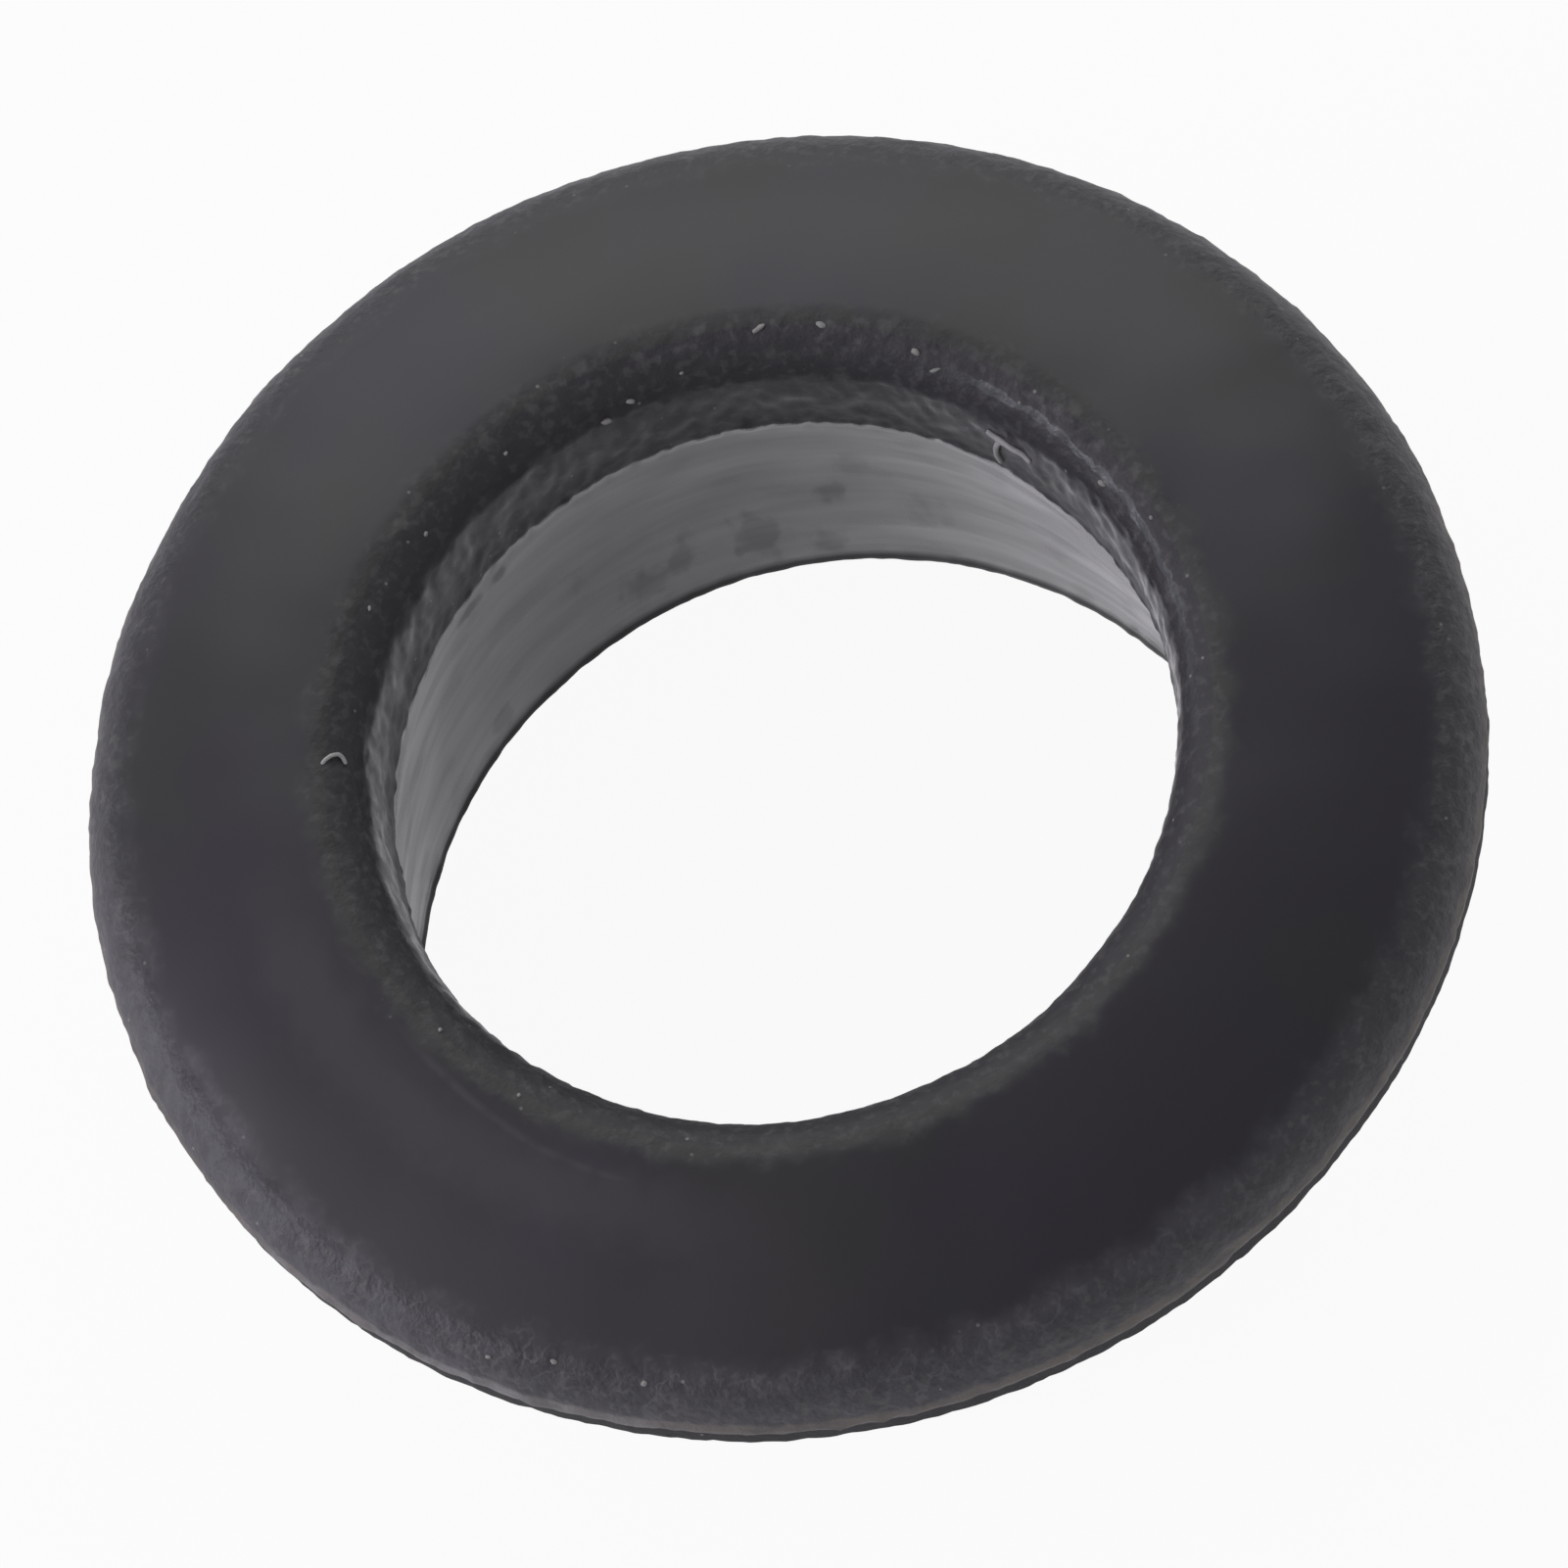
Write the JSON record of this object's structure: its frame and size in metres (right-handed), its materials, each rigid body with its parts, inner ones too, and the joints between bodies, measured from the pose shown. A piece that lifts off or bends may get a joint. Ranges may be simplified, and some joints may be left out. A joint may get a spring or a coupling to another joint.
{
  "type": "door lock knob grommet",
  "caption": "Flanged rubber grommet with a domed face, a short drafted bore and a grooved barrel; it trims a door panel's hole and guides the lock knob.",
  "frame": {"origin": "centre of the bore, in the plane of the flange's flat back face", "axes": "+Z along the bore, out of the door panel towards the domed face; X and Y may be turned at will, because the part is round"},
  "size_m": [0.022, 0.022, 0.0094],
  "materials": {
    "rubber": "satin black as moulded, smooth on the dome, fine grain on the lip and the rim"
  },
  "bodies": {
    "root": {"grommet": "rubber"}
  },
  "joints": []
}
